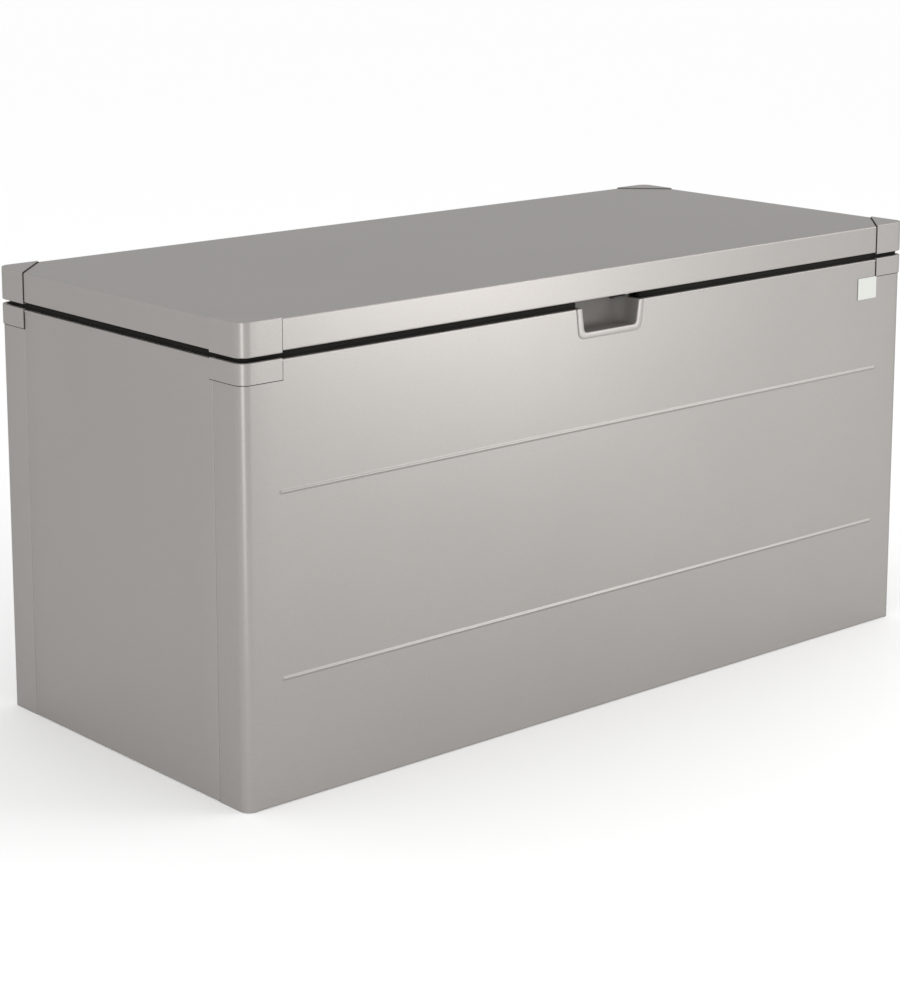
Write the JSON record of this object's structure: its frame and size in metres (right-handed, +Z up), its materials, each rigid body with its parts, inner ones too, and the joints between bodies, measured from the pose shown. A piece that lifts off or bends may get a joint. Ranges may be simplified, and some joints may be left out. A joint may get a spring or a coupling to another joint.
{
  "type": "deck storage box",
  "caption": "Long sheet-metal garden storage box with a hinged lid on gas struts, round corners with proud caps, pressed beads and a recessed grip.",
  "frame": {"origin": "on the ground, under the middle of the box", "axes": "+X along the front to the right, the front faces -Y, +Z up"},
  "size_m": [1.4032, 0.6202, 0.6986],
  "materials": {
    "powder_coat": "warm grey metallic powder coat, satin, with a fine grain",
    "cup_plastic": "moulded, dark taupe, matt",
    "black_steel": "black paint, satin",
    "zinc_steel": "bright zinc plate",
    "bare_aluminium": "fine satin, blank",
    "seal_rubber": "black foamed rubber, matt",
    "chrome_plate": "polished",
    "black_plastic": "moulded, satin black"
  },
  "bodies": {
    "box": {"badge_plate": "bare_aluminium", "ball_stud_low_left": "zinc_steel", "ball_stud_low_right": "zinc_steel", "base_rail_1": "black_steel", "base_rail_2": "black_steel", "base_rail_3": "black_steel", "body_cap_front_left": "powder_coat", "body_cap_front_right": "powder_coat", "body_cap_rear_left": "powder_coat", "body_cap_rear_right": "powder_coat", "floor_panel": "powder_coat", "front_panel": "powder_coat", "grip_cup": "cup_plastic", "hinge_leaf_body_1": "zinc_steel", "hinge_leaf_body_2": "zinc_steel", "hinge_leaf_body_3": "zinc_steel", "hinge_pin_1": "zinc_steel", "hinge_pin_2": "zinc_steel", "hinge_pin_3": "zinc_steel", "lock_striker": "zinc_steel", "rear_panel": "powder_coat", "rim_rail_front": "black_steel", "rim_rail_left": "black_steel", "rim_rail_rear": "black_steel", "rim_rail_right": "black_steel", "seal_front_left": "seal_rubber", "seal_front_right": "seal_rubber", "seal_left": "seal_rubber", "seal_rear": "seal_rubber", "seal_right": "seal_rubber", "side_panel_left": "powder_coat", "side_panel_right": "powder_coat", "strut_plate_body_left": "zinc_steel", "strut_plate_body_right": "zinc_steel"},
    "lid": {"hinge_leaf_lid_1": "zinc_steel", "hinge_leaf_lid_2": "zinc_steel", "hinge_leaf_lid_3": "zinc_steel", "lid_cap_front_left": "powder_coat", "lid_cap_front_right": "powder_coat", "lid_cap_rear_left": "powder_coat", "lid_cap_rear_right": "powder_coat", "lid_panel": "powder_coat", "lid_stiffener_1": "black_steel", "lid_stiffener_2": "black_steel", "lid_stiffener_3": "black_steel", "lock_housing": "chrome_plate", "strut_plate_lid_left": "zinc_steel", "strut_plate_lid_right": "zinc_steel"},
    "lock": {"lock_plug": "chrome_plate", "lock_cam": "zinc_steel"},
    "left_tube": {"strut_tube_left": "black_steel", "strut_socket_low_left": "black_plastic"},
    "left_rod": {"strut_rod_left": "chrome_plate", "strut_socket_high_left": "black_plastic", "ball_stud_high_left": "zinc_steel"},
    "right_tube": {"strut_tube_right": "black_steel", "strut_socket_low_right": "black_plastic"},
    "right_rod": {"strut_rod_right": "chrome_plate", "strut_socket_high_right": "black_plastic", "ball_stud_high_right": "zinc_steel"}
  },
  "joints": [
    {"name": "lid_hinge", "type": "hinge", "parent": "box", "child": "lid", "pos_m": [0, 0.3058, 0.6463], "axis": [-1, 0, 0], "range_deg": [0, 78]},
    {"name": "strut_swing_left", "type": "hinge", "parent": "box", "child": "left_tube", "pos_m": [-0.66, 0.2558, 0.5863], "axis": [-1, 0, 0], "range_deg": [0, 71]},
    {"name": "strut_stroke_left", "type": "slide", "parent": "left_tube", "child": "left_rod", "axis": [0, -0.9216, 0.3881], "range_m": [0, 0.0936]},
    {"name": "strut_swing_right", "type": "hinge", "parent": "box", "child": "right_tube", "pos_m": [0.66, 0.2558, 0.5863], "axis": [-1, 0, 0], "range_deg": [0, 71]},
    {"name": "strut_stroke_right", "type": "slide", "parent": "right_tube", "child": "right_rod", "axis": [0, -0.9216, 0.3881], "range_m": [0, 0.0936]},
    {"name": "lock_turn", "type": "hinge", "parent": "lid", "child": "lock", "pos_m": [0.046, -0.2905, 0.66], "axis": [0, 0, -1], "range_deg": [0, 90]}
  ],
  "couplings": [
    {"joint": "strut_swing_left", "follows": "lid_hinge", "ratio": 0.90936},
    {"joint": "strut_stroke_left", "follows": "lid_hinge", "m_per_rad": 0.068611},
    {"joint": "strut_swing_right", "follows": "lid_hinge", "ratio": 0.90936},
    {"joint": "strut_stroke_right", "follows": "lid_hinge", "m_per_rad": 0.068611}
  ]
}
